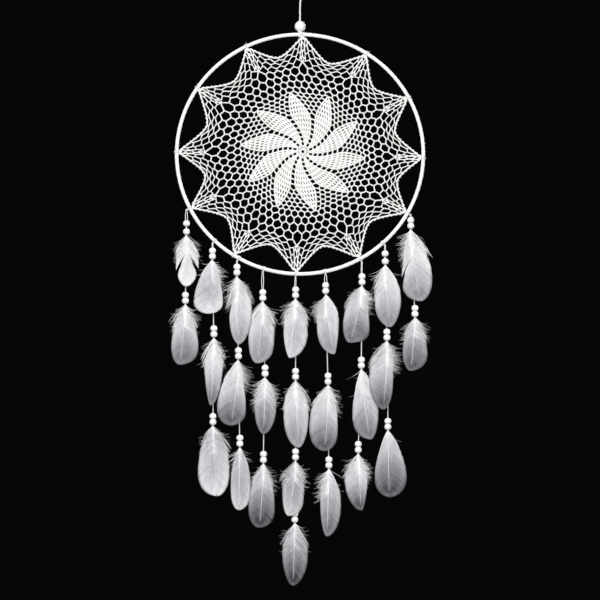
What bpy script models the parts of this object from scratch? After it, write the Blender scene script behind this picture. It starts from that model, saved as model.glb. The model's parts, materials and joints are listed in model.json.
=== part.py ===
"""Dream catcher: a ribbon-wrapped steel hoop with a crocheted doily laced into it, hung on a cord with a
round bead, and nine strands of beads and feathers that hang from the hoop's lower half.

Metres, +Z up, front towards -Y. The origin is the point where the hanging loop rests on its nail.
"""

import math
from collections import namedtuple

import bmesh
import bpy
from mathutils import Vector

# Hoop
HOOP_DIAMETER = 0.320  # outside, over the wrap
WRAP_DIAMETER = 0.0046
CORE_DIAMETER = 0.0026
CORE_CLEARANCE = 0.0005  # between the steel ring and the wrap's inside
WRAP_SLIT = 0.001  # between the ribbon's two ends, under the hanging knot
FIT_GAP = 0.0004  # between pieces that touch

# Doily
DOILY_THICKNESS = 0.0020
SCALLOP_DEPTH = 0.0297  # from the hoop's inside to the lowest point of the doily's edge between two ties
SCALLOP_POWER = 1.7  # how fast the edge rises to the ties: 1 is a straight V, 2 is a round bowl
TIP_WIDTH = 0.0026
TIE_THREAD = 0.0012
# Where the doily is tied to the hoop, in degrees round from straight down, positive towards +X.
TIE_ANGLES = (-154, -123.5, -91, -63, -32.5, -2, 29, 60.3, 88, 118, 147, 178.5)

# Hanger
HANG_LENGTH = 0.094  # from the nail to the hoop's top
HANGER_CORD = 0.0022
LOOP_HEIGHT = 0.040
LOOP_WIDTH = 0.024
LOOP_KNOT_DIAMETER = 0.0066
LOOP_KNOT_HEIGHT = 0.0080
HANGER_KNOT_WIDTH = 0.0044
HANGER_KNOT_WALL = 0.0009
HANGER_NECK = 0.0012  # how far the knot's neck reaches up into the bead
HANGER_BEAD_DIAMETER = 0.0138
HANGER_BEAD_CLEARANCE = 0.0006  # round the cord
CORD_STRAIGHT_SHARE = 0.7  # of the cord's rise to its knot, before it leans over to the loop's first leg

# Strands
THREAD_DIAMETER = 0.0013
STRAND_KNOT_WALL = 0.0012
STRAND_KNOT_LENGTH = 0.0026
BEAD_DIAMETER = 0.0088
BEAD_HEIGHT = 0.0072
BEAD_LIP = 0.0006  # the flat rim round the bead's hole
BEAD_SPACE = 0.0003  # between the two beads of a tier
HOLE_DEPTH = 0.0042
PIVOT_GAP = 0.0008  # from a bead's underside to the top of the thread that swings below it

# Feathers
FEATHER_LENGTH = 0.084  # a typical one, from the bead to the tip
FEATHER_THICKNESS = 0.0011
QUILL_DIAMETER = 0.0014
QUILL_IN_BEAD = 0.0032
LANE_GAP = 0.0010  # between the feathers of neighbouring strands
OUTER_ROOM = 0.028  # sideways, from the outermost threads

# A tier is a length of thread, two beads and a feather. In turn: the drop from the hoop or from the tip of
# the feather above to the upper bead, the thread's sideways drift and the extra space between the beads, all
# in mm; then the feather's length as a share of FEATHER_LENGTH, and how far its left edge, its right edge and
# its tip stand from the thread, as shares of the room to the neighbouring strand.
Tier = namedtuple("Tier", "drop drift spread length left right tip")
MM = 0.001
# Each strand has the angle where it hangs on the hoop, measured as TIE_ANGLES is, and its tiers from the top
STRANDS = (
    (-63, (
        Tier(14, 0, 3.4, 0.83, 0.72, 0.92, 0.00),
        Tier(6, -1, 0, 0.97, 0.66, 0.94, -0.26),
    )),
    (-43.5, (
        Tier(6, 0, 0, 0.87, 0.96, 0.80, -0.30),
        Tier(14, 2, 0, 1.08, 0.92, 0.92, -0.20),
        Tier(9, -1, 0, 1.12, 0.94, 0.96, 0.40),
    )),
    (-29.7, (
        Tier(4, 0, 0, 1.09, 0.55, 0.96, 0.15),
        Tier(3, 2, 0, 1.05, 0.96, 0.75, -0.55),
        Tier(11, 2, 0, 1.00, 0.70, 0.90, -0.05),
    )),
    (-17, (
        Tier(23, 0, 0, 0.99, 0.95, 0.84, -0.45),
        Tier(1, 3, 0, 0.91, 0.76, 0.80, -0.10),
        Tier(21, -2, 0, 1.02, 0.96, 0.84, -0.30),
    )),
    (-2, (
        Tier(12, 0, 0, 0.95, 0.78, 0.68, -0.35),
        Tier(12, 0, 0, 1.07, 0.78, 0.80, 0.22),
        Tier(0, 0, 0, 0.88, 0.84, 0.62, -0.42),
        Tier(-8, -1, 0, 0.99, 0.84, 0.84, -0.12),
    )),
    (11.6, (
        Tier(10, 0, 0, 0.96, 0.55, 0.72, 0.48),
        Tier(23, 3, 0, 1.05, 0.94, 0.60, -0.20),
        Tier(6, 1, 0, 1.07, 0.50, 0.86, -0.12),
    )),
    (29, (
        Tier(15, 0, 0, 0.92, 0.96, 0.60, -0.70),
        Tier(17, -1, 0, 1.12, 0.55, 0.96, 0.76),
        Tier(1, -4, 0, 0.91, 0.90, 0.58, 0.20),
    )),
    (42, (
        Tier(7, 0, 2.6, 1.00, 0.86, 0.95, 0.38),
        Tier(1, 2, 0, 1.09, 0.96, 0.50, -0.28),
        Tier(10, 1, 0, 1.06, 0.94, 0.96, 0.14),
    )),
    (60.3, (
        Tier(3, 0, 0, 1.15, 0.76, 0.96, 0.44),
        Tier(4, 5, 0, 0.86, 0.76, 0.76, -0.28),
    )),
)

# A feather's outline, in shares of its length from the bead
VANE_FULL_AT = 0.50
VANE_NARROWS_AT = 0.55
VANE_TOP_POWER = 0.8  # higher makes the top slimmer
VANE_TIP_POWER = 3.0  # higher makes the tip blunter

# How finely round shapes are drawn
TUBE_SIDES = 8
RING_SIDES = 12
HOOP_STEPS = 60
SCALLOP_STEPS = 8
STRAIGHT_STEPS = 8
LOOP_STEPS = 24
VANE_STATIONS = (0.07, 0.18, 0.34, 0.52, 0.70, 0.86, 0.95, 1.0)

# Worked out from the sizes above
HOOP_RADIUS = (HOOP_DIAMETER - WRAP_DIAMETER) / 2  # to the middle of the tube
HOOP_CENTRE = Vector((0, 0, -HANG_LENGTH - HOOP_DIAMETER / 2))
HOOP_TOP = HOOP_CENTRE + Vector((0, 0, HOOP_RADIUS))
TIE_RADIUS = (WRAP_DIAMETER / 2 + FIT_GAP) / math.cos(math.pi / RING_SIDES) + TIE_THREAD / 2
STRAND_KNOT_RADIUS = WRAP_DIAMETER / 2 + STRAND_KNOT_WALL
QUILL_FORWARD = (QUILL_DIAMETER + FIT_GAP) / 2  # the quill and the next thread share a bead's hole
THREAD_BACK = (THREAD_DIAMETER + FIT_GAP) / 2
BEAD_HOLE_RADIUS = (QUILL_DIAMETER + 1.5 * FIT_GAP) / math.cos(math.pi / TUBE_SIDES)
FEATHER_BOW = BEAD_DIAMETER / 2 + FEATHER_THICKNESS + FIT_GAP  # so that a tip passes in front of a bead


def clear_scene():
    for thing in list(bpy.data.objects):
        bpy.data.objects.remove(thing, do_unlink=True)


def material(name, colour, roughness, metallic=0.0):
    made = bpy.data.materials.new(name)
    made.use_nodes = True
    shader = made.node_tree.nodes["Principled BSDF"]
    shader.inputs["Base Color"].default_value = (*colour, 1.0)
    shader.inputs["Roughness"].default_value = roughness
    shader.inputs["Metallic"].default_value = metallic
    return made


def empty(name, location, parent=None):
    made = bpy.data.objects.new(name, None)
    made.empty_display_size = 0.01
    bpy.context.scene.collection.objects.link(made)
    made.parent = parent
    made.location = location
    return made


def add_object(name, bm, finish, parent, location=(0, 0, 0)):
    """Makes the named object from a bmesh, with its faces pointing out and its round faces smooth."""
    bmesh.ops.recalc_face_normals(bm, faces=bm.faces)
    mesh = bpy.data.meshes.new(name)
    bm.to_mesh(mesh)
    bm.free()
    mesh.shade_smooth()
    mesh.set_sharp_from_angle(angle=math.radians(50))
    if finish:
        mesh.materials.append(finish)
    made = bpy.data.objects.new(name, mesh)
    bpy.context.scene.collection.objects.link(made)
    made.parent = parent
    made.location = location
    return made


def unite(target, bm):
    """Joins a further shape, in the same local coordinates, to an object."""
    piece = add_object(target.name + "_joined", bm, None, target)
    piece.hide_render = True
    piece.display_type = "WIRE"
    union = target.modifiers.new(piece.name, "BOOLEAN")
    union.operation = "UNION"
    union.solver = "EXACT"
    union.object = piece


def circle(centre, across, up, radius, sides):
    """A ring of points about a centre, in the plane of two unit directions."""
    angles = [2 * math.pi * k / sides for k in range(sides)]
    return [centre + radius * (math.cos(a) * across + math.sin(a) * up) for a in angles]


def skin(bm, rings, closed=False):
    """Adds rings of points to a bmesh and skins each to the next, and the last to the first if closed."""
    rows = [[bm.verts.new(p) for p in ring] for ring in rings]
    for a, b in zip(rows, rows[1:] + rows[:1] if closed else rows[1:]):
        for k in range(len(a)):
            n = (k + 1) % len(a)
            bm.faces.new((a[k], a[n], b[n], b[k]))
    return rows


def loft(rings, closed=False):
    """A solid skinned over rings of points, with flat ends unless it is closed."""
    bm = bmesh.new()
    rows = skin(bm, rings, closed)
    if not closed:
        bm.faces.new(rows[0])
        bm.faces.new(rows[-1])
    return bm


def turned(profile, sides, axis="z"):
    """A solid of revolution with a hole through it, from a closed profile of (radius, height) points."""
    rings = []
    for k in range(sides):
        a = 2 * math.pi * k / sides
        if axis == "z":
            rings.append([Vector((r * math.cos(a), r * math.sin(a), h)) for r, h in profile])
        else:
            rings.append([Vector((h, r * math.cos(a), r * math.sin(a))) for r, h in profile])
    return loft(rings, closed=True)


def from_down(degrees, radius):
    """The point of the hoop's plane at this angle round from straight down, from the hoop's centre."""
    a = math.radians(degrees)
    return Vector((math.sin(a), 0, -math.cos(a))) * radius


def section(degrees, radius):
    """A round section of the hoop's tube."""
    out = from_down(degrees, 1)
    return circle(out * HOOP_RADIUS, out, Vector((0, 1, 0)), radius, TUBE_SIDES)


def hoop_stations():
    """(angle, is it on a strand's knot) round the hoop, from one end of the wrap to the other."""
    slit = math.degrees(WRAP_SLIT / 2 / HOOP_RADIUS)
    stations = [(-180 + 360 * k / HOOP_STEPS, False) for k in range(1, HOOP_STEPS)]
    stations += [(-180 + slit, False), (180 - slit, False)]
    half = math.degrees(STRAND_KNOT_LENGTH / 2 / HOOP_RADIUS)
    for angle, _ in STRANDS:
        if angle not in TIE_ANGLES:
            stations = [s for s in stations if abs(s[0] - angle) > 2 * half]
            stations += [(angle - half, False), (angle - 0.6 * half, True)]
            stations += [(angle + 0.6 * half, True), (angle + half, False)]
    return sorted(stations)


def make_hoop_core(finish, parent):
    rings = [section(angle, CORE_DIAMETER / 2) for angle, _ in hoop_stations()]
    return add_object("hoop_core", loft(rings, closed=True), finish, parent)


def make_hoop_wrap(finish, parent):
    """The ribbon wound round the ring: a sleeve with a slit at the top, and a swelling where a strand is
    knotted on between the ties."""
    inside = CORE_DIAMETER / 2 + CORE_CLEARANCE
    bm = bmesh.new()
    stations = hoop_stations()
    outer = skin(bm, [section(a, STRAND_KNOT_RADIUS if knot else WRAP_DIAMETER / 2) for a, knot in stations])
    inner = skin(bm, [section(a, inside) for a, _ in stations])
    for end in (0, -1):
        for k in range(TUBE_SIDES):
            n = (k + 1) % TUBE_SIDES
            bm.faces.new((outer[end][k], outer[end][n], inner[end][n], inner[end][k]))
    return add_object("hoop_wrap", bm, finish, parent)


def scallop(start, end, reach, valley):
    """The doily's edge between two ties: down from one tip to the valley and up to the next."""
    shift = math.degrees(TIP_WIDTH / 2 / reach)
    middle, half = (start + end) / 2, (end - start) / 2 - shift
    points = []
    for k in range(SCALLOP_STEPS + 1):
        share = 2 * k / SCALLOP_STEPS - 1
        radius = valley + (reach - valley) * abs(share) ** SCALLOP_POWER
        points.append(from_down(middle + share * half, radius))
    return points


def make_doily(finish, parent):
    """The crocheted disc as a thin plate with a scalloped edge, and a ring of thread round the hoop at each
    point."""
    reach = HOOP_RADIUS - TIE_RADIUS
    valley = HOOP_DIAMETER / 2 - WRAP_DIAMETER - SCALLOP_DEPTH
    outline = []
    for start, end in zip(TIE_ANGLES, TIE_ANGLES[1:] + (TIE_ANGLES[0] + 360,)):
        outline += scallop(start, end, reach, valley)
    bm = bmesh.new()
    half = Vector((0, DOILY_THICKNESS / 2, 0))
    front, back = skin(bm, [[p - half for p in outline], [p + half for p in outline]])
    for side, hub in ((front, bm.verts.new(-half)), (back, bm.verts.new(half))):
        for a, b in zip(side, side[1:] + side[:1]):
            bm.faces.new((a, b, hub))
    doily = add_object("doily", bm, finish, parent)
    ties = bmesh.new()
    for angle in TIE_ANGLES:
        out = from_down(angle, 1)
        along = out.cross(Vector((0, 1, 0)))
        rings = []
        for k in range(RING_SIDES):
            a = 2 * math.pi * k / RING_SIDES
            spoke = math.cos(a) * out + math.sin(a) * Vector((0, 1, 0))
            middle = out * HOOP_RADIUS + spoke * TIE_RADIUS
            rings.append(circle(middle, spoke, along, TIE_THREAD / 2, 4))
        skin(ties, rings, closed=True)
    unite(doily, ties)
    return doily


def tube(name, points, radius):
    """The bmesh of a round cord along the points."""
    curve = bpy.data.curves.new(name, "CURVE")
    curve.dimensions = "3D"
    curve.bevel_depth = radius
    curve.bevel_resolution = 2
    curve.use_fill_caps = True
    spline = curve.splines.new("POLY")
    spline.points.add(len(points) - 1)
    for place, point in zip(spline.points, points):
        place.co = (*point, 1)
    guide = bpy.data.objects.new(name, curve)
    bpy.context.scene.collection.objects.link(guide)
    mesh = bpy.data.meshes.new_from_object(guide.evaluated_get(bpy.context.evaluated_depsgraph_get()))
    bpy.data.objects.remove(guide)
    bm = bmesh.new()
    bm.from_mesh(mesh)
    bmesh.ops.remove_doubles(bm, verts=bm.verts, dist=0.00001)
    bpy.data.meshes.remove(mesh)
    return bm


def hanger_route(bottom, knot):
    """The hanging cord: straight up to its knot, and round the loop that goes over the nail."""
    lean = 0.6 * HANGER_CORD  # the loop's two legs lie side by side in the knot
    points = []
    for k in range(STRAIGHT_STEPS + 1):
        share = k / STRAIGHT_STEPS
        over = max(0, share - CORD_STRAIGHT_SHARE) / (1 - CORD_STRAIGHT_SHARE)
        points.append(Vector((lean * over, 0, bottom + share * (knot - bottom))))
    height = HANGER_CORD / 2 - knot
    widest = 1.54  # twice the largest value of sin(t) * sin(t / 2)
    for k in range(1, LOOP_STEPS + 1):
        t = 2 * math.pi * k / LOOP_STEPS
        wide = LOOP_WIDTH / widest * math.sin(t) * math.sin(t / 2)
        points.append(Vector((wide + lean * math.cos(t / 2), 0, knot + height * (1 - math.cos(t)) / 2)))
    return points


def make_hanger_cord(finish, parent, bottom):
    """The cord stands over the hanging knot's neck, with a gap."""
    knot = -LOOP_HEIGHT - LOOP_KNOT_HEIGHT / 2
    route = tube("hanger_route", hanger_route(bottom, knot), HANGER_CORD / 2)
    cord = add_object("hanger_cord", route, finish, parent)
    heights = [math.sin(math.radians(a)) for a in (-68, -36, 0, 36, 68)]
    rings = []
    for h in heights:
        wide = LOOP_KNOT_DIAMETER / 2 * math.sqrt(1 - h * h)
        middle = Vector((0, 0, knot + h * LOOP_KNOT_HEIGHT / 2))
        rings.append(circle(middle, Vector((1, 0, 0)), Vector((0, 1, 0)), wide, RING_SIDES))
    unite(cord, loft(rings))
    return cord


def make_hanger_bead(finish, parent, bottom):
    """A round bead with a hole down its axis, resting on the hanging knot."""
    radius = HANGER_BEAD_DIAMETER / 2
    hole = HANGER_CORD / 2 + HANGER_BEAD_CLEARANCE
    edge = math.asin(hole / radius)
    steps = 7
    turns = [edge + (math.pi - 2 * edge) * k / steps for k in range(steps + 1)]
    profile = [(radius * math.sin(t), -radius * math.cos(t)) for t in turns]
    rise = radius * math.cos(edge)
    bead = turned(profile, 14)
    return add_object("hanger_bead", bead, finish, parent, (0, 0, bottom + rise))


def make_hanger_knot(finish, parent):
    """The cord's turns round the hoop as one ring, with a short neck that meets the cord above."""
    inner = (WRAP_DIAMETER / 2 + FIT_GAP) / math.cos(math.pi / RING_SIDES)
    outer = inner + HANGER_KNOT_WALL
    half = HANGER_KNOT_WIDTH / 2
    soft = HANGER_KNOT_WALL / 2
    profile = ((inner, -half), (inner, half), (outer - soft, half), (outer, half - soft),
               (outer, soft - half), (outer - soft, -half))
    knot = add_object("hanger_knot", turned(profile, RING_SIDES, axis="x"), finish, parent)
    up = [Vector((0, 0, z)) for z in (inner + HANGER_KNOT_WALL / 2, outer + FIT_GAP + HANGER_NECK)]
    neck = [circle(p, Vector((1, 0, 0)), Vector((0, 1, 0)), HANGER_CORD / 2, TUBE_SIDES) for p in up]
    unite(knot, loft(neck))
    return outer


def level_ring(x, y, z, radius):
    return circle(Vector((x, y, z)), Vector((1, 0, 0)), Vector((0, 1, 0)), radius, TUBE_SIDES)


def beads_rings(run, drift, back, spread):
    """Rings down one tier of thread and its two beads, from the pivot at the thread's top. The lower bead's
    hole is open below, for the quill."""
    thread = THREAD_DIAMETER / 2
    wide = BEAD_DIAMETER / 2
    mouth = BEAD_HOLE_RADIUS + BEAD_LIP
    rings = [level_ring(0, 0, 0, thread), level_ring(drift, -back, -run, thread)]
    top = -run
    for bead in range(2):
        if bead and spread:
            rings += [level_ring(drift, -back, z, thread) for z in (top + BEAD_SPACE + spread, top)]
        for radius, share in ((mouth, 0), (wide, 0.3), (wide, 0.7), (mouth, 1)):
            rings.append(level_ring(drift, -back, top - share * BEAD_HEIGHT, radius))
        top -= BEAD_HEIGHT + BEAD_SPACE + spread
    bottom = -run - 2 * BEAD_HEIGHT - BEAD_SPACE - spread
    rings.append(level_ring(drift, -back, bottom, BEAD_HOLE_RADIUS))
    rings.append(level_ring(drift, -back, bottom + HOLE_DEPTH, BEAD_HOLE_RADIUS))
    return rings, Vector((drift, -back, bottom))


def feather_rings(length, left, right, tip):
    """Rings down one feather, from the top of its quill. Its place is the underside of its bead."""
    quill = QUILL_DIAMETER / 2
    rings = []
    for z in (QUILL_IN_BEAD, -QUILL_DIAMETER):
        rings.append(circle(Vector((0, -QUILL_FORWARD, z)), Vector((1, 0, 0)), Vector((0, 1, 0)), quill, 4))
    for s in VANE_STATIONS:
        swell = math.sin(math.pi / 2 * min(s / VANE_FULL_AT, 1)) ** VANE_TOP_POWER
        narrow = max(0, (s - VANE_NARROWS_AT) / (1 - VANE_NARROWS_AT)) ** VANE_TIP_POWER
        edges = [side * swell * (1 - narrow) + tip * narrow for side in (-left, right)]
        middle = tip * s**1.6
        low, high = min(edges[0], middle - quill), max(edges[1], middle + quill)
        y = -QUILL_FORWARD - FEATHER_BOW * s**1.3
        half = FEATHER_THICKNESS / 2 * (1 - 0.6 * s)
        z = -s * length
        rings.append([Vector((high, y, z)), Vector((middle, y + half, z)), Vector((low, y, z)),
                      Vector((middle, y - half, z))])
    return rings


def thread_place(angle):
    """Where a strand's thread leaves the hoop: under the doily's tie, or under its own knot."""
    if angle in TIE_ANGLES:
        knot = TIE_RADIUS + TIE_THREAD / 2
    else:
        knot = STRAND_KNOT_RADIUS
    return from_down(angle, HOOP_RADIUS + knot + FIT_GAP + THREAD_DIAMETER / 2)


def make_strand(number, places, tiers, wood, vane, parent):
    """One strand. Each tier turns on its pivot empty, at the top of its thread."""
    here = places[number]
    left_edge = (places[number - 1].x + here.x) / 2 if number else here.x - OUTER_ROOM
    right_edge = (places[number + 1].x + here.x) / 2 if number + 1 < len(places) else here.x + OUTER_ROOM
    x = here.x
    offset, tail = here, 0.0
    for level, tier in enumerate(tiers):
        name = f"strand_{number + 1}"
        pivot = empty(f"{name}_pivot_{level + 1}", offset, parent)
        run = tail + tier.drop * MM
        back = THREAD_BACK if level else 0.0
        rings, under = beads_rings(run, tier.drift * MM, back, tier.spread * MM)
        add_object(f"{name}_beads_{level + 1}", loft(rings), wood, pivot)
        x += tier.drift * MM
        room = [x - left_edge - LANE_GAP / 2, right_edge - x - LANE_GAP / 2]
        length = tier.length * FEATHER_LENGTH
        tip = tier.tip * room[tier.tip > 0]
        feather = loft(feather_rings(length, tier.left * room[0], tier.right * room[1], tip))
        add_object(f"{name}_feather_{level + 1}", feather, vane, pivot, under)
        offset = under + Vector((0, THREAD_BACK, -PIVOT_GAP))
        tail = length - PIVOT_GAP
        parent = pivot


def build():
    clear_scene()
    cotton = material("white_cotton", (0.86, 0.85, 0.82), 0.9)
    ribbon = material("white_ribbon", (0.88, 0.88, 0.87), 0.6)
    steel = material("steel", (0.62, 0.62, 0.63), 0.35, 1.0)
    wood = material("white_wood", (0.87, 0.86, 0.84), 0.45)
    vane = material("white_feather", (0.88, 0.88, 0.90), 0.75)

    nail = empty("nail", (0, 0, 0))
    spin = empty("spin_pivot", HOOP_TOP, nail)
    knot_top = make_hanger_knot(cotton, spin) + FIT_GAP
    make_hanger_cord(cotton, nail, HOOP_TOP.z + knot_top + HANGER_NECK + FIT_GAP)
    make_hanger_bead(wood, nail, HOOP_TOP.z + knot_top)

    swing = empty("hoop_pivot", (0, 0, 0), spin)
    hoop = empty("hoop_centre", HOOP_CENTRE - HOOP_TOP, swing)
    make_hoop_core(steel, hoop)
    make_hoop_wrap(ribbon, hoop)
    make_doily(cotton, hoop)
    places = [thread_place(angle) for angle, _ in STRANDS]
    for number, (_, tiers) in enumerate(STRANDS):
        make_strand(number, places, tiers, wood, vane, hoop)


build()
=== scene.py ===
"""Looks of the dream catcher: a crocheted doily laced into a ribbon-wrapped hoop, with a hanging cord and
a bead above and nine strands of thread, beads and goose feathers below.

Metres, +Z up, front towards -Y. The doily lies in the plane Y = 0.
"""

import json
import math
from collections import namedtuple

import bpy
import numpy as np
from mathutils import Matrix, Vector


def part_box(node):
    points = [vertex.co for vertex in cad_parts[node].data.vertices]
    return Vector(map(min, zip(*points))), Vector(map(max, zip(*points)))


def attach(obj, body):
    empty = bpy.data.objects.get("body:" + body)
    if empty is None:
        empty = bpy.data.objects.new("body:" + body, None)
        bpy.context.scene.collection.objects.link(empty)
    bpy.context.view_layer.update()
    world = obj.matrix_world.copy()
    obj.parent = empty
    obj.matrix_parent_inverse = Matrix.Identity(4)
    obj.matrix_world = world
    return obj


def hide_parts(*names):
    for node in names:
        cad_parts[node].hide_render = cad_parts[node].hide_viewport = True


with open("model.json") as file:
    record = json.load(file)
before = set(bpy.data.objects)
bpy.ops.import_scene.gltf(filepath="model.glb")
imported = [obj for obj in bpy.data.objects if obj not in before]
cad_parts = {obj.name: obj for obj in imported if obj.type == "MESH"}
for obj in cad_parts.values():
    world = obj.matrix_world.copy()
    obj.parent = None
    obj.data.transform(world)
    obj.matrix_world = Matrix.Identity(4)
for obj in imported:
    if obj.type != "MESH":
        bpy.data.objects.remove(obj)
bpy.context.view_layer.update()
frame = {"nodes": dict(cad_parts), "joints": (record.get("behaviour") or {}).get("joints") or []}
MM = 0.001
UP = np.array([0.0, 0.0, 1.0])
BACK = np.array([0.0, 1.0, 0.0])
RIGHT = np.array([1.0, 0.0, 0.0])
chance = np.random.default_rng(11)

# Sizes shared with the frame
core_low, core_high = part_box("hoop_core")
HOOP_CENTRE = np.array((core_low + core_high) / 2)
HOOP_RADIUS = 157.7 * MM  # to the middle of the tube
WRAP_RADIUS = 2.3 * MM
HOOP_TOP = HOOP_CENTRE + HOOP_RADIUS * UP
TIE_ANGLES = (-154, -123.5, -91, -63, -32.5, -2, 29, 60.3, 88, 118, 147, 178.5)  # round from straight down
STRAND_ANGLES = (-63, -43.5, -29.7, -17, -2, 11.6, 29, 42, 60.3)
STRAND_TIERS = (2, 3, 3, 3, 4, 3, 3, 3, 2)
THREAD_DIAMETER = 1.3 * MM
BEAD_HEIGHT = 7.2 * MM
BEAD_RADIUS = 4.4 * MM


# ---------------------------------------------------------------- camera, light and floor

CAMERA_AIM = Vector((0, 0, -0.4458))
CAMERA_DISTANCE = 12.0
CAMERA_PITCH = math.radians(13.1)  # the camera looks up at the hanging piece
CAMERA_LENS = 565.2  # mm, on a 36 mm sensor
FLOOR_HEIGHT = -1.95
FLOOR_RADIUS = 1.5


def look_at(thing, target):
    thing.rotation_euler = (Vector(target) - thing.location).to_track_quat("-Z", "Y").to_euler()


def make_camera():
    camera = bpy.data.objects.new("camera", bpy.data.cameras.new("camera"))
    bpy.context.scene.collection.objects.link(camera)
    camera.data.lens = CAMERA_LENS
    camera.data.sensor_width = 36
    camera.data.clip_end = 50
    below = Vector((0, -math.cos(CAMERA_PITCH), -math.sin(CAMERA_PITCH)))
    camera.location = CAMERA_AIM + CAMERA_DISTANCE * below
    look_at(camera, CAMERA_AIM)
    bpy.context.scene.camera = camera


def make_light(name, place, size, power):
    light = bpy.data.objects.new(name, bpy.data.lights.new(name, "AREA"))
    bpy.context.scene.collection.objects.link(light)
    light.data.shape = "RECTANGLE"
    light.data.size, light.data.size_y = size
    light.data.energy = power
    light.location = place
    look_at(light, CAMERA_AIM)


def make_studio():
    """Soft light from the front and above, weaker light behind, a dark room and a pale floor."""
    make_light("key", (-1.3, -2.6, 1.0), (1.6, 1.6), 103)
    make_light("fill", (1.9, -2.3, 0.1), (1.8, 1.8), 52)
    make_light("low", (0.0, -2.4, -1.7), (1.8, 0.8), 14)
    make_light("rear", (0.6, 2.6, 0.7), (1.8, 1.8), 56)
    world = bpy.data.worlds.new("room")
    world.use_nodes = True
    world.node_tree.nodes["Background"].inputs["Color"].default_value = (0.002, 0.002, 0.0022, 1)
    bpy.context.scene.world = world
    bpy.context.scene.view_settings.view_transform = "Standard"
    steps = 96
    turns = [2 * math.pi * k / steps for k in range(steps)]
    mesh = bpy.data.meshes.new("floor")
    rim = [(FLOOR_RADIUS * math.cos(a), FLOOR_RADIUS * math.sin(a), FLOOR_HEIGHT) for a in turns]
    mesh.from_pydata(rim, [], [list(range(steps))])
    floor = bpy.data.objects.new("floor", mesh)
    bpy.context.scene.collection.objects.link(floor)
    paint = bpy.data.materials.new("floor_paint")
    paint.use_nodes = True
    shader = paint.node_tree.nodes["Principled BSDF"]
    shader.inputs["Base Color"].default_value = (0.72, 0.71, 0.69, 1)
    shader.inputs["Roughness"].default_value = 0.8
    mesh.materials.append(paint)


# ---------------------------------------------------------------- shapes


class Shape:
    """Points and faces gathered into one mesh, with a value from 0 to 1 at each point for its material."""

    def __init__(self):
        self.points, self.faces, self.shades, self.count = [], [], [], 0

    def skin(self, rings, shade=0.5, closed=False):
        """Skins tubes over rings of points, shaped (rings, sides, 3) or (tubes, rings, sides, 3)."""
        rings = np.asarray(rings, float)
        if rings.ndim == 3:
            rings = rings[None]
        tubes, steps, sides = rings.shape[:3]
        index = np.arange(tubes * steps * sides).reshape(tubes, steps, sides) + self.count
        here, there = (index, np.roll(index, -1, 1)) if closed else (index[:, :-1], index[:, 1:])
        walls = np.stack([here, np.roll(here, -1, 2), np.roll(there, -1, 2), there], -1)
        self.faces.append(walls.reshape(-1, 4))
        if not closed:
            near = np.arange(sides // 2 - 1)
            far = sides - 1 - near
            for ring, way in ((index[:, 0], -1), (index[:, -1], 1)):
                cap = np.stack([ring[:, near], ring[:, near + 1], ring[:, far - 1], ring[:, far]], -1)
                self.faces.append(cap[..., ::way].reshape(-1, 4))
        self.points.append(rings.reshape(-1, 3))
        self.shades.append(np.broadcast_to(shade, rings.shape[:3]).reshape(-1))
        self.count += tubes * steps * sides

    def build(self, name, body, finish):
        points = np.concatenate(self.points)
        faces = np.concatenate(self.faces)
        mesh = bpy.data.meshes.new(name)
        mesh.vertices.add(len(points))
        mesh.vertices.foreach_set("co", points.astype(np.float32).ravel())
        mesh.loops.add(faces.size)
        mesh.loops.foreach_set("vertex_index", faces.astype(np.int32).ravel())
        mesh.polygons.add(len(faces))
        mesh.polygons.foreach_set("loop_start", np.arange(0, faces.size, 4, dtype=np.int32))
        mesh.update(calc_edges=True)
        mesh.shade_smooth()
        shade = mesh.attributes.new("shade", "FLOAT", "POINT")
        shade.data.foreach_set("value", np.concatenate(self.shades).astype(np.float32))
        mesh.materials.append(finish)
        piece = bpy.data.objects.new(name, mesh)
        bpy.context.scene.collection.objects.link(piece)
        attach(piece, body)
        return piece


def unit(vectors):
    return vectors / np.maximum(np.linalg.norm(vectors, axis=-1, keepdims=True), 1e-12)


def directions(path, first, closed=False):
    """Tangents of a path and two directions across it, carried along without twist from the first one."""
    ahead = np.roll(path, -1, 0) - np.roll(path, 1, 0) if closed else np.gradient(path, axis=0)
    tangents = unit(ahead)
    across = np.empty_like(tangents)
    carried = np.asarray(first, float)
    for k, tangent in enumerate(tangents):
        carried = carried - tangent * carried.dot(tangent)
        carried = carried / np.linalg.norm(carried)
        across[k] = carried
    return tangents, across, np.cross(tangents, across)


def lengths(path):
    """How far along a path each of its points is."""
    return np.concatenate([[0], np.cumsum(np.linalg.norm(np.diff(path, axis=0), axis=1))])


def rope(shape, path, radius, pitch, relief=0.34, sides=8, plies=2, first=BACK, closed=False, shade=None):
    """A twisted cord along a path: its section has a lobe for each ply and turns once for each pitch."""
    path = np.asarray(path, float)
    _, across, beside = directions(path, first, closed)
    around = 2 * math.pi * np.arange(sides) / sides
    twist = 2 * math.pi * lengths(path) / pitch
    # wave is 1 on each ply's crest and 0 in the groove between plies. Unless a shade is given, it is also
    # the shade value, so the cotton materials paint shade into the grooves.
    wave = np.cos(plies * (around[None] - twist[:, None])) / 2 + 0.5
    radii = np.broadcast_to(radius, len(path))[:, None] * (1 - relief * (1 - wave))
    spokes = np.cos(around)[:, None] * across[:, None] + np.sin(around)[:, None] * beside[:, None]
    shape.skin(path[:, None] + radii[..., None] * spokes, wave if shade is None else shade, closed)


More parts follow.
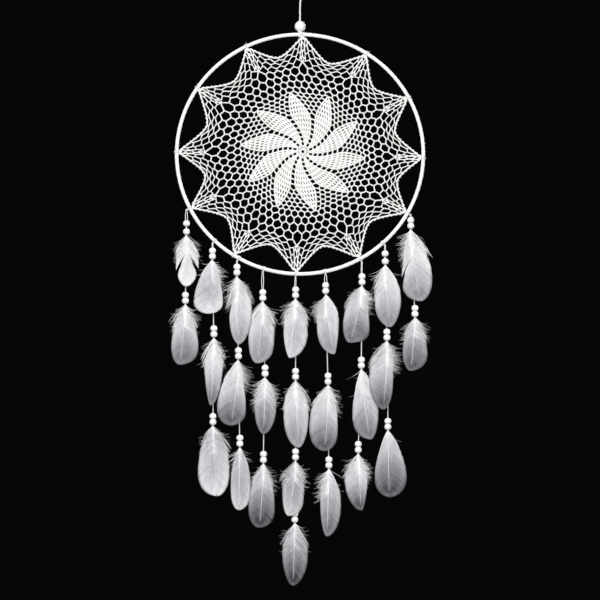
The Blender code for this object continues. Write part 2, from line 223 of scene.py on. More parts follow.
def smooth(points, steps, closed=False):
    """A Catmull-Rom curve through the points, with this many steps from each to the next."""
    points = np.asarray(points, float)
    if closed:
        padded = np.concatenate([points[-1:], points, points[:2]])
    else:
        padded = np.concatenate([2 * points[:1] - points[1:2], points, 2 * points[-1:] - points[-2:-1]])
    a, b, c, d = padded[:-3], padded[1:-2], padded[2:-1], padded[3:]
    t = (np.arange(steps) / steps)[None, :, None]
    a, b, c, d = a[:, None], b[:, None], c[:, None], d[:, None]
    curve = 0.5 * (2 * b + (c - a) * t + (2 * a - 5 * b + 4 * c - d) * t**2 + (3 * b - a - 3 * c + d) * t**3)
    curve = curve.reshape(-1, 3)
    return curve if closed else np.concatenate([curve, points[-1:]])


def straight(start, end, step):
    """Evenly spaced points on a line, about this far apart."""
    count = max(3, round(float(np.linalg.norm(np.subtract(end, start))) / step) + 1)
    share = np.linspace(0, 1, count)[:, None]
    return np.asarray(start) * (1 - share) + np.asarray(end) * share


def lathe(shape, profile, centre, sides, shade):
    """A closed solid of revolution about the vertical, from a closed profile of (radius, height) points."""
    rings = []
    for a in 2 * math.pi * np.arange(sides) / sides:
        spoke = math.cos(a) * RIGHT + math.sin(a) * BACK
        rings.append([centre + radius * spoke + height * UP for radius, height in profile])
    shape.skin(np.array(rings)[:, ::-1], shade, closed=True)


def from_down(degrees, radius):
    """A point of the hoop's plane, at this angle round from straight down, positive towards +X."""
    a = math.radians(degrees)
    return HOOP_CENTRE + radius * (math.sin(a) * RIGHT - math.cos(a) * UP)


# ---------------------------------------------------------------- materials


def link(tree, source, target):
    tree.links.new(source, target)


def node(tree, kind, **inputs):
    made = tree.nodes.new(kind)
    for name, value in inputs.items():
        made.inputs[name.replace("_", " ")].default_value = value
    return made


def ramp(tree, source, stops):
    """Colours or greys over a value from 0 to 1."""
    made = tree.nodes.new("ShaderNodeValToRGB")
    link(tree, source, made.inputs["Fac"])
    elements = made.color_ramp.elements
    while len(elements) < len(stops):
        elements.new(0.5)
    for element, (place, colour) in zip(elements, stops):
        element.position = place
        element.color = (*colour, 1)
    return made.outputs["Color"]


def multiply(tree, one, other):
    made = tree.nodes.new("ShaderNodeMix")
    made.data_type = "RGBA"
    made.blend_type = "MULTIPLY"
    made.inputs["Factor"].default_value = 1
    link(tree, one, made.inputs["A"])
    link(tree, other, made.inputs["B"])
    return made.outputs["Result"]


def new_material(name):
    made = bpy.data.materials.new(name)
    made.use_nodes = True
    return made, made.node_tree, made.node_tree.nodes["Principled BSDF"]


def noise(tree, scale, detail=3.0, stretch=None):
    place = tree.nodes.new("ShaderNodeTexCoord").outputs["Object"]
    if stretch:
        mapping = node(tree, "ShaderNodeMapping", Scale=stretch)
        link(tree, place, mapping.inputs["Vector"])
        place = mapping.outputs["Vector"]
    made = node(tree, "ShaderNodeTexNoise", Scale=scale, Detail=detail)
    link(tree, place, made.inputs["Vector"])
    return made.outputs["Fac"]


def bump(tree, shader, height, strength, distance):
    made = node(tree, "ShaderNodeBump", Strength=strength, Distance=distance)
    link(tree, height, made.inputs["Height"])
    link(tree, made.outputs["Normal"], shader.inputs["Normal"])


def uneven_gloss(tree, shader, scale, low, high):
    """Roughness that wanders between two values."""
    rough = ramp(tree, noise(tree, scale), ((0.3, (low,) * 3), (0.7, (high,) * 3)))
    link(tree, rough, shader.inputs["Roughness"])


def shade_of(tree):
    """The value that Shape keeps at each point."""
    made = tree.nodes.new("ShaderNodeAttribute")
    made.attribute_name = "shade"
    return made.outputs["Fac"]


def cotton(name, light, dark, fuzz):
    """Spun thread: painted shade darkens it between its plies, with fine fibres and faint stains."""
    made, tree, shader = new_material(name)
    # Painted shade: where the shade value is low, in the grooves between plies, the thread takes the dark
    # colour.
    plies = ramp(tree, shade_of(tree), ((0.0, dark), (0.55, light)))
    stain = ramp(tree, noise(tree, 45), ((0.3, (0.93, 0.92, 0.90)), (0.7, (1, 1, 1))))
    link(tree, multiply(tree, plies, stain), shader.inputs["Base Color"])
    shader.inputs["Roughness"].default_value = 0.88
    shader.inputs["Specular IOR Level"].default_value = 0.25
    shader.inputs["Sheen Weight"].default_value = 0.25
    shader.inputs["Sheen Roughness"].default_value = 0.5
    bump(tree, shader, noise(tree, 2600, 4), fuzz, 0.0002)
    return made


def ribbon_material():
    """Satin ribbon: fine woven lines across it, and a painted shadow line where each turn lies over the
    next.
    """
    made, tree, shader = new_material("satin_ribbon")
    # Painted shadow: a dark line along each turn's edge, where the lap's shade value is low.
    lap_shadow = ramp(tree, shade_of(tree), ((0.0, (0.55, 0.56, 0.59)), (0.16, (0.90, 0.92, 0.94))))
    stain = ramp(tree, noise(tree, 60), ((0.3, (0.94, 0.94, 0.93)), (0.7, (1, 1, 1))))
    link(tree, multiply(tree, lap_shadow, stain), shader.inputs["Base Color"])
    shader.inputs["Sheen Weight"].default_value = 0.2
    uneven_gloss(tree, shader, 900, 0.34, 0.52)
    bump(tree, shader, noise(tree, 3000, 2, (1, 1, 6)), 0.25, 0.0001)
    return made


def wood_material():
    """Painted wood: white satin paint over a faint grain, with a few marks."""
    made, tree, shader = new_material("painted_wood")
    grain = ramp(tree, noise(tree, 500, 5, (1, 1, 0.15)),
                 ((0.25, (0.84, 0.83, 0.80)), (0.6, (0.92, 0.915, 0.90))))
    rim = ramp(tree, shade_of(tree), ((0.0, (0.55, 0.50, 0.44)), (0.5, (1, 1, 1))))
    link(tree, multiply(tree, grain, rim), shader.inputs["Base Color"])
    uneven_gloss(tree, shader, 300, 0.26, 0.42)
    shader.inputs["Coat Weight"].default_value = 0.15
    shader.inputs["Coat Roughness"].default_value = 0.25
    bump(tree, shader, noise(tree, 700, 4, (1, 1, 0.2)), 0.15, 0.0002)
    return made


def steel_material():
    """Drawn steel wire, faintly streaked and dull in places."""
    made, tree, shader = new_material("bare_steel")
    tone = ramp(tree, noise(tree, 700, 4, (1, 1, 0.1)),
                ((0.3, (0.50, 0.50, 0.51)), (0.7, (0.66, 0.66, 0.67))))
    link(tree, tone, shader.inputs["Base Color"])
    shader.inputs["Metallic"].default_value = 1.0
    uneven_gloss(tree, shader, 1500, 0.28, 0.45)
    return made


def feather_material():
    """Feather vane: its shade value is how white it is, painted shade included, and its darks are a cool
    grey.
    """
    made, tree, shader = new_material("goose_feather")
    # Painted shade: low shade values give the greyer, shaded parts of the vane.
    tone = ramp(tree, shade_of(tree), ((0.0, (0.035, 0.030, 0.036)), (0.35, (0.33, 0.315, 0.345)),
                                       (0.7, (0.68, 0.67, 0.70)), (1.0, (0.95, 0.95, 0.96))))
    streaks = ramp(tree, noise(tree, 260, 3, (1, 1, 0.6)), ((0.3, (0.88, 0.88, 0.89)), (0.65, (1, 1, 1))))
    link(tree, multiply(tree, tone, streaks), shader.inputs["Base Color"])
    shader.inputs["Roughness"].default_value = 0.62
    shader.inputs["Specular IOR Level"].default_value = 0.25
    shader.inputs["Sheen Weight"].default_value = 0.15
    shader.inputs["Sheen Roughness"].default_value = 0.4
    bump(tree, shader, noise(tree, 1800, 2), 0.2, 0.0001)
    return made


# ---------------------------------------------------------------- hanging cord, its knots and the top bead

LOOP_WIDTH = 24 * MM
LOOP_KNOT = np.array([0, 0, -44 * MM])
HANGER_CORD = 2.2 * MM
HANGER_PITCH = 5 * MM
HANGER_RELIEF = 0.22
HANGER_PLIES = 3
STRAIGHT_STEPS = 8
STRAIGHT_SHARE = 0.7
LOOP_STEPS = 24
TOP_BEAD_RADIUS = 6.9 * MM
TOP_BEAD_HOLE = 2.1 * MM


def hanger_route(bottom):
    """The cord's route in the frame: up to its knot, then round the loop that goes over the nail."""
    lean = 0.6 * HANGER_CORD
    points = []
    for k in range(STRAIGHT_STEPS + 1):
        share = k / STRAIGHT_STEPS
        over = max(0, share - STRAIGHT_SHARE) / (1 - STRAIGHT_SHARE)
        points.append((lean * over, 0, bottom + share * (LOOP_KNOT[2] - bottom)))
    height = HANGER_CORD / 2 - LOOP_KNOT[2]
    widest = 1.54  # twice the most that sin(t) * sin(t / 2) reaches
    for k in range(1, LOOP_STEPS + 1):
        t = 2 * math.pi * k / LOOP_STEPS
        wide = LOOP_WIDTH / widest * math.sin(t) * math.sin(t / 2)
        rise = LOOP_KNOT[2] + height * (1 - math.cos(t)) / 2
        points.append((wide + lean * math.cos(t / 2), 0, rise))
    return points


def wound(centre, axis, radius, rise, turns, start=0.0, steps=14):
    """A helix about an axis: a cord's turns round something."""
    first = unit(np.cross(axis, BACK if abs(axis[1]) < 0.9 else RIGHT))
    beside = np.cross(axis, first)
    share = np.linspace(0, 1, round(steps * turns) + 1)
    a = (start + turns * share) * 2 * math.pi
    return (centre + radius * (np.cos(a)[:, None] * first + np.sin(a)[:, None] * beside)
            + ((share - 0.5) * rise)[:, None] * axis)


def cord(shape, path, radius, sides=10, first=RIGHT):
    rope(shape, path, radius, HANGER_PITCH, HANGER_RELIEF, sides, HANGER_PLIES, first)


def bent_cord(shape, place, points, steps, start, end, first=RIGHT):
    """A short bent length of cord, through points in mm from a place. start and end are its radii in mm."""
    path = smooth([place + np.array(p) * MM for p in points], steps)
    cord(shape, path, np.linspace(start, end, len(path)) * MM, first=first)


def make_hanging_cord(finish):
    """The cord with its loop, and the knot that closes the loop."""
    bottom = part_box("hanger_cord")[0].z
    route = smooth(hanger_route(bottom), 4)
    shape = Shape()
    cord(shape, route, HANGER_CORD / 2, 12, BACK)
    hanging = shape.build("hanging_cord", "hanger", finish)
    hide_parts("hanger_cord")

    shape = Shape()
    turns = wound(LOOP_KNOT + 0.9 * MM * UP, UP, 2.1 * MM, 5.2 * MM, 2.6)
    cord(shape, turns, 1.15 * MM, first=UP)
    over = ((-1.6, 0.6, -2.9), (-2.2, -1.6, -1.2), (-0.4, -3.1, 1.0), (1.9, -1.8, 3.0), (1.4, 0.6, 4.0))
    bent_cord(shape, LOOP_KNOT, over, 6, 1.05, 1.05)
    tail = ((0.6, 0.5, -1.4), (2.2, 1.3, -2.5), (4.4, 1.7, -3.0), (6.8, 1.5, -3.5), (8.6, 1.0, -4.4))
    bent_cord(shape, LOOP_KNOT, tail, 6, 1.0, 0.72)
    knot = shape.build("loop_knot", "hanger", finish)


def make_top_bead(wood):
    low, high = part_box("hanger_bead")
    edge = math.asin(TOP_BEAD_HOLE / TOP_BEAD_RADIUS)
    ball = [(TOP_BEAD_RADIUS * math.sin(t), -TOP_BEAD_RADIUS * math.cos(t))
            for t in np.linspace(edge, math.pi - edge, 22)]
    end = TOP_BEAD_RADIUS * math.cos(edge) - 0.4 * MM
    bore = [(TOP_BEAD_HOLE - 0.1 * MM, h) for h in np.linspace(end, -end, 6)]
    shade = np.array([0.0] * len(bore) + [1.0] * len(ball))
    shape = Shape()
    lathe(shape, ball + bore, np.array((low + high) / 2), 40, shade)
    bead = shape.build("top_bead", "top_bead", wood)
    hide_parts("hanger_bead")


def make_hitch(finish):
    """The knot that ties the hanging cord round the top of the hoop."""
    shape = Shape()
    cord(shape, wound(HOOP_TOP, RIGHT, WRAP_RADIUS + 0.95 * MM, 3.3 * MM, 2.0, 0.25, 18), 0.95 * MM)
    rise = ((-1.5, -2.6, 3.1), (-1.2, -1.2, 4.6), (0.4, 0, 5.2), (0, 0, 6.2))
    bent_cord(shape, HOOP_TOP, rise, 5, 1.05, 1.05)
    across = ((-2.3, 1.8, 3.4), (-1.3, -0.6, 4.6), (1.2, -1.4, 4.4), (2.2, 0.9, 3.6))
    bent_cord(shape, HOOP_TOP, across, 6, 0.9, 0.9, UP)
    hitch = shape.build("hoop_hitch", "knot", finish)
    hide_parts("hanger_knot")


# ---------------------------------------------------------------- hoop: wound ribbon, ties and knots

RIBBON_PITCH = 7.4 * MM
LAP_RISE = 0.16 * MM
LAP_EDGE = 0.10  # the part of a turn over which its edge rises
WRAP_STEPS = 1180
WRAP_SIDES = 20


def make_ribbon(finish):
    """The wrap is one band wound in a spiral; each turn's edge stands proud of the turn before."""
    turns = round(2 * math.pi * HOOP_RADIUS / RIBBON_PITCH)
    along = np.linspace(0, 1, WRAP_STEPS, endpoint=False)[:, None]
    around = (np.arange(WRAP_SIDES) / WRAP_SIDES)[None]
    # The winder's hand isn't steady, so the turns are unevenly wide.
    wander = 0.12 * np.sin(2 * math.pi * along * 9) + 0.08 * np.sin(2 * math.pi * along * 23)
    phase = (along * turns - around + wander) % 1
    lap = np.minimum(phase / LAP_EDGE, 1) * (1 - 0.8 * phase)
    a = 2 * math.pi * along - math.pi
    out = np.stack([np.sin(a), 0 * a, -np.cos(a)], -1)
    section = 2 * math.pi * around[..., None]
    spoke = np.cos(section) * out + np.sin(section) * BACK
    radius = (WRAP_RADIUS - 0.08 * MM + LAP_RISE * lap)[..., None]
    shape = Shape()
    tube = HOOP_CENTRE + HOOP_RADIUS * out + radius * spoke
    # lap also becomes the shade value, which the ribbon material paints as a shadow line at each turn's
    # edge.
    shape.skin(tube[:, ::-1], lap[:, ::-1], closed=True)
    wrap = shape.build("ribbon_wrap", "hoop", finish)
    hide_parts("hoop_wrap")


def tie(shape, degrees, thread, turns, tails):
    """Turns of thread round the hoop at one place, a small knot on its inner side and its cut ends."""
    out = unit(from_down(degrees, 1) - HOOP_CENTRE)
    along = np.cross(out, BACK)
    middle = HOOP_CENTRE + HOOP_RADIUS * out
    radius = WRAP_RADIUS + thread
    rope(shape, wound(middle, along, radius, 1.9 * thread * turns, turns, chance.uniform(0, 1), 18),
         thread, 2.6 * MM, 0.3, 8, first=along)
    for side, lean, reach in tails:
        start = middle + (side * 0.6 * MM) * along - (radius + 0.2 * MM) * BACK * 0.9 + 0.6 * MM * out
        end = start + reach * MM * (math.cos(lean) * along * side + math.sin(lean) * out) - 0.6 * MM * BACK
        bend = (start + end) / 2 - 0.8 * MM * BACK
        path = smooth([start, bend, end], 5)
        rope(shape, path, np.linspace(1, 0.7, len(path)) * thread * 0.8, 2.2 * MM, 0.3, 6)


# ---------------------------------------------------------------- doily

DOILY_CENTRE = HOOP_CENTRE + np.array([3.6, 0, 2.9]) * MM
SECTORS = 10
SECTOR = 360 // SECTORS
NET_ROWS = 4
CELLS = 5  # of the net, in each scallop
TIP_REACH = 154.3 * MM
# From the hoop's centre to the lowest point of each scallop's edge, in mm: the cloth is pulled unevenly.
VALLEYS = (127.6, 124.8, 124.4, 125.8, 124.8, 124.8, 126.6, 129.4, 124.8, 128.2, 124.8, 129.8)
USUAL_VALLEY = 126
EDGE_POWER = 1.7  # 1 would be a straight V between the ties, 2 a round bowl
TIP_WIDTH = 2.6 * MM
RIM_REACH = 112.1 * MM
RIM_PEAK = 8.4 * MM
GAP_LINK_PULL = 1.7  # of the net between the petals, beside 1 elsewhere
GAP_CHAIN_PULL = 1.3
# Radii of threads, and of the stitches drawn with them
NET_THREAD = 1.0 * MM
LINK_THREAD = 0.96 * MM
BORDER_THREAD = 0.82 * MM
BORDER_LINK = 0.74 * MM
EDGE_THREAD = 1.3 * MM
BAND_THREAD = 1.35 * MM
POST_RADIUS = 1.62 * MM
POST_WAIST = 0.44 * MM  # how much thinner a post is at its middle
POST_SPACE = 3.45 * MM
CHAIN_PITCH = 4.4 * MM
EDGE_BUMP = 5.6 * MM
HUB_RADIUS = 2.9 * MM
HUB_SPOKES = 18
SPOKE_LEAN = 4  # degrees
# Rounds of the pinwheel: radius in mm, and the degrees where a petal starts and ends on it. The first seven
# are closed rounds, and beyond them the petals narrow to their tips.
BANDS = (
    (7.6, -16.0, 10.5), (13.6, -12.5, 14.0), (19.4, -9.4, 19.0), (25.6, -5.6, 23.6), (31.8, -2.0, 28.0),
    (38.1, 1.2, 32.0), (44.5, 3.6, 34.6), (50.4, 7.6, 36.5), (56.0, 12.8, 36.0), (62.0, 17.3, 35.2),
    (68.0, 21.4, 34.0), (74.0, 25.2, 32.4), (79.6, 28.6, 30.2),
)
FIRST_GAP = 7  # the band where the net starts between the petals
SHELL = (-0.062, -0.02, 0.02, 0.062)  # links that leave the net together at each tie, in scallops beside it
BORDER_ROUNDS = ((0.17, 0.30), (0.43, 0.57), (0.70, 0.82))  # low and high points, from the net to the edge
PAIR_SPREAD = 0.012


def polar(degrees, radius, y=0.0):
    """A point of the doily, at this angle round its centre from +X."""
    a = math.radians(degrees)
    return DOILY_CENTRE + np.array([math.cos(a) * radius, y, math.sin(a) * radius])


class Net:
    """Threads that pull on each other: the free points settle where the pulls balance."""

    def __init__(self):
        self.places, self.held, self.pulls = [], [], []

    def point(self, place, held=False):
        self.places.append(np.asarray(place, float))
        self.held.append(held)
        return len(self.places) - 1

    def pull(self, a, b, force):
        self.pulls.append((a, b, force * chance.uniform(0.82, 1.22)))

    def settle(self):
        count = len(self.places)
        places = np.array(self.places)
        stiffness = np.zeros((count, count))
        for a, b, force in self.pulls:
            stiffness[a, a] += force
            stiffness[b, b] += force
            stiffness[a, b] -= force
            stiffness[b, a] -= force
        free = ~np.array(self.held)
        load = -stiffness[np.ix_(free, ~free)] @ places[~free]
        places[free] = np.linalg.solve(stiffness[np.ix_(free, free)], load)
        return places


def scallop(number, count):
    """The doily's edge between two ties: down from one tip to the valley and up to the next."""
    start, end = TIES[number], TIES[number + 1]
    shift = math.degrees(TIP_WIDTH / 2 / TIP_REACH)
    share = np.linspace(-1, 1, count + 1)
    valley = VALLEYS[number] * MM
    reach = valley + (TIP_REACH - valley) * np.abs(share) ** EDGE_POWER
    turns = (start + end) / 2 + share * ((end - start) / 2 - shift)
    return np.array([from_down(a, r) for a, r in zip(turns, reach)])


TIES = TIE_ANGLES + (TIE_ANGLES[0] + 360,)
EDGES = [scallop(k, 60) for k in range(12)]


def along_line(line, share):
    """The point at a share of a line of evenly spaced points."""
    place = share * (len(line) - 1)
    low = min(int(place), len(line) - 2)
    return line[low] + (line[low + 1] - line[low]) * (place - low)


def net_rim():
    """Where the net ends and the border begins: a peak under each tie, and level between them."""
    rim = []
    for k in range(12):
        for cell in range(CELLS):
            share = cell / CELLS
            peak = (1 - math.sin(math.pi * share)) ** 1.5
            slack = 0.5 * (VALLEYS[k] - USUAL_VALLEY) * MM * (1 - peak) + chance.uniform(-0.6, 0.6) * MM
            place = TIES[k] + (TIES[k + 1] - TIES[k]) * share
            rim.append(from_down(place, RIM_REACH + RIM_PEAK * peak + slack))
    return rim


def bearing(place):
    """The angle of a point round the doily's centre."""
    x, z = (place - DOILY_CENTRE)[[0, 2]]
    return math.atan2(z, x) % (2 * math.pi)


def lay_gaps(net, rounds, links):
    """The net between the petals: fans, one loop wider at each round. Returns their last loops' feet."""
    below = []
    for sector in range(SECTORS):
        feet = []
        for gap, (radius, start, end) in enumerate(BANDS[FIRST_GAP:], 1):
            first, last = end + SECTOR * sector, start + SECTOR * (sector + 1)
            tops = [net.point(polar(first, radius * MM), True)]
            for k, foot in enumerate(feet):
                tops.append(net.point(polar(first + (last - first) * (k + 1) / gap, radius * MM)))
                net.pull(foot, tops[-1], GAP_LINK_PULL)
                links.append((foot, tops[-1]))
            tops.append(net.point(polar(last, radius * MM), True))
            feet, line = [], [tops[0]]
            for a, b in zip(tops, tops[1:]):
                feet.append(net.point((net.places[a] + net.places[b]) / 2))
                net.pull(a, feet[-1], GAP_CHAIN_PULL)
                net.pull(feet[-1], b, GAP_CHAIN_PULL)
                line += [feet[-1], b]
            rounds.append((line, False))
        below += feet
    return below


def lay_net():
    """The hexagonal net between the petals and the border. Returns its settled places, its rounds of chain
    as (points, closed), its short links, and the rim where it ends."""
    net = Net()
    rounds, links = [], []
    below = lay_gaps(net, rounds, links)
    rim = net_rim()
    # Each row's loops sit half a cell further round than the row below, so the last row is two cells on.
    target = bearing(net.places[below[0]]) + 2 * math.pi / len(below) * NET_ROWS / 2
    past = np.array([bearing(place) for place in rim]) - target
    offset = int(np.argmin(np.abs((past + math.pi) % (2 * math.pi) - math.pi)))
    for row in range(NET_ROWS):
        last_row = row == NET_ROWS - 1
        tops = []
        for foot in below:
            tops.append(net.point(net.places[foot]))
            net.pull(foot, tops[-1], 1)
            links.append((foot, tops[-1]))
        below, line = [], []
        for k, (a, b) in enumerate(zip(tops, tops[1:] + tops[:1])):
            place = rim[(k + offset) % len(rim)] if last_row else (net.places[a] + net.places[b]) / 2
            below.append(net.point(place, last_row))
            net.pull(a, below[-1], 1)
            net.pull(below[-1], b, 1)
            line += [a, below[-1]]
        rounds.append((line, True))
    return net.settle(), rounds, links, rim


def border_place(rim, around, depth):
    """A point of the border. around counts scallops from the first tie, and depth runs from 0 at the net
    to 1 at the edge."""
    k = int(math.floor(around)) % 12
    share = around - math.floor(around)
    feet = [rim[(CELLS * k + j) % len(rim)] for j in range(CELLS + 1)]
    inner = along_line(feet, share)
    outer = along_line(EDGES[k], share)
    return inner + (outer - inner) * depth


def lay_border(rim):
    """Three rounds of long narrow loops that follow the edge and crowd together at each tie. Returns the
    rounds and the links between them."""
    rounds, links = [], []
    feet, marks = [], []  # where the links leave the rim, and where they reach the first round
    for k in range(12):
        between = [k + j / CELLS for j in range(1, CELLS)]
        feet += [k] * len(SHELL) + between
        marks += [k + s for s in SHELL] + between
    order = np.argsort(marks)
    marks = np.array(marks)[order]
    starts = [border_place(rim, feet[i], 0) for i in order]
    for number, (low, high) in enumerate(BORDER_ROUNDS):
        wobble = chance.uniform(-0.025, 0.025, len(marks))
        tops = [border_place(rim, m, low + w) for m, w in zip(marks, wobble)]
        links += list(zip(starts, tops))
        middles = (marks + np.concatenate([marks[1:], marks[:1] + 12])) / 2
        starts = [border_place(rim, m, high) for m in middles]
        rounds.append([p for pair in zip(tops, starts) for p in pair])
        marks = middles
        if number > 0:  # two links in place of the one at each tie
            beside = [k + s for k in range(12) for s in (-PAIR_SPREAD, PAIR_SPREAD)]
            clear = [m for m in marks if abs(m - round(m)) > 0.008]
            marks = np.array(sorted(clear + beside))
            starts = [border_place(rim, m, high) for m in marks]
    ends = [border_place(rim, m, 0.97) for m in marks]
    links += list(zip(starts, ends))
    return rounds, links


def knot_blob(shape, place, way, size):
    """A stitch's small lump where a link meets a chain."""
    steps = np.linspace(-1, 1, 6)
    path = place + steps[:, None] * way * size * 1.05
    rope(shape, path, size * np.sqrt(1.08 - steps**2), 3 * MM, 0.18, 8)


def draw_net(shape):
    """The net's rounds and links. Returns the rim where it ends."""
    places, rounds, links, rim = lay_net()
    for line, closed in rounds:
        path = smooth(places[line], 6, closed)
        path[:, 1] += 0.12 * MM * np.sin(lengths(path) / (2.1 * MM))
        rope(shape, path, NET_THREAD, CHAIN_PITCH, closed=closed)
    for a, b in links:
        rope(shape, straight(places[a], places[b], 0.8 * MM), LINK_THREAD, 3.4 * MM)
        for end in (a, b):
            knot_blob(shape, places[end] - 0.15 * MM * BACK, unit(places[b] - places[a]), 1.16 * MM)
    return rim


def draw_border(shape, rim):
    rounds, links = lay_border(rim)
    for line in rounds:
        rope(shape, smooth(line, 5, True), BORDER_THREAD, 3.2 * MM, closed=True)
    for start, end in links:
        rope(shape, straight(start, end, 0.9 * MM), BORDER_LINK, 3.0 * MM, sides=6)


def draw_edge(shape):
    """The thick outer edge, with a bump at each stitch."""
    edge = np.concatenate([line[:-1] for line in EDGES])
    edge = smooth(edge[::2], 5, True)
    bump_size = np.sin(math.pi * lengths(edge) / EDGE_BUMP) ** 2
    edge = edge + unit(edge - HOOP_CENTRE) * (0.55 * MM * (bump_size[:, None] - 0.5))
    rope(shape, edge, EDGE_THREAD * (0.86 + 0.42 * bump_size), 4.6 * MM, 0.3, closed=True)


def draw_hub(shape):
    ring = smooth([polar(a, HUB_RADIUS) for a in range(0, 360, 30)], 4, True)
    rope(shape, ring, 1.2 * MM, 4 * MM, closed=True)
    for k in range(HUB_SPOKES):
        a = 360 / HUB_SPOKES * k
        spoke = straight(polar(a, HUB_RADIUS + 0.3 * MM), polar(a + SPOKE_LEAN, BANDS[0][0] * MM), 0.6 * MM)
        rope(shape, spoke, 0.8 * MM, 2.4 * MM)


def draw_posts(shape, turn, low_band, high_band):
    """Tall stitches from one band of a petal to the next, with slits between them."""
    low_radius, low_start, low_end = low_band
    high_radius, high_start, high_end = high_band
    low_radius, high_radius = low_radius * MM, high_radius * MM
    width = math.radians((low_end - low_start + high_end - high_start) / 2) * (low_radius + high_radius) / 2
    count = max(2, math.ceil((width - 2 * POST_RADIUS) / POST_SPACE - 0.25) + 1)
    low_room = math.degrees(POST_RADIUS / low_radius)
    high_room = math.degrees(POST_RADIUS / high_radius)
    for share in np.linspace(0, 1, count):
        low = low_start + low_room + (low_end - low_start - 2 * low_room) * share
        high = high_start + high_room + max(0, high_end - high_start - 2 * high_room) * share
        path = straight(polar(low + turn, low_radius), polar(high + turn, high_radius), 0.65 * MM)
        waist = np.cos(np.linspace(-1, 1, len(path)) * math.pi / 2) ** 3
        rope(shape, path, POST_RADIUS - POST_WAIST * waist, 4.2 * MM, 0.2)


def draw_petals(shape):
    """The pinwheel: bands of chain, joined by the posts of each petal."""
    for level, (radius, start, end) in enumerate(BANDS):
        radius *= MM
        if level < FIRST_GAP:
            circle = [polar(a, radius) for a in np.arange(0, 360, 360 / (12 + 8 * level))]
            rope(shape, smooth(circle, 4, True), BAND_THREAD * 0.82, CHAIN_PITCH, closed=True)
        inset = math.degrees(1.15 * MM / radius)
        count = max(4, round((end - start) * radius / 60 / MM) + 1)
        for turn in range(0, 360, SECTOR):
            sweep = np.linspace(start + inset, end - inset, count)
            band = [polar(a + turn, radius, -0.25 * MM) for a in sweep]
            rope(shape, smooth(band, 3), BAND_THREAD, CHAIN_PITCH, 0.3)
            if level + 1 < len(BANDS):
                draw_posts(shape, turn, BANDS[level], BANDS[level + 1])


def make_doily(finish):
    shape = Shape()
    rim = draw_net(shape)
    draw_border(shape, rim)
    draw_edge(shape)
    draw_hub(shape)
    draw_petals(shape)
    lace = shape.build("crochet_doily", "hoop", finish)
    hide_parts("doily")


def make_doily_ties(finish):
    """Thread round the hoop at each of the doily's points, with the knot that holds the point to it."""
    shape = Shape()
    for degrees in TIE_ANGLES:
        lean = chance.uniform(0.2, 1.3, 2)
        tails = ((-1, lean[0], chance.uniform(2.2, 4.2)), (1, lean[1], chance.uniform(1.8, 3.6)))
        tie(shape, degrees, 0.6 * MM, 2, tails)
        out = unit(from_down(degrees, 1) - HOOP_CENTRE)
        along = np.cross(out, BACK)
        inner = HOOP_CENTRE + (HOOP_RADIUS - WRAP_RADIUS - 1.2 * MM) * out
        knot_blob(shape, inner - 0.3 * MM * BACK, along, 1.45 * MM)
        knot_blob(shape, inner - 2.2 * MM * out, out, 1.5 * MM)
    shape.build("doily_ties", "hoop", finish)


# ---------------------------------------------------------------- strands

THREAD_START = 1.2 * MM  # above the joint that it hangs from
THREAD_END = 3.6 * MM  # above the bottom of the beads that it enters
BEAD_HOLE = 1.8 * MM
QUILL_FORWARD = 0.9 * MM
FEATHER_BOW = 5.9 * MM
Look = namedtuple("Look", "left right wide round down_left down_right top middle low splits")
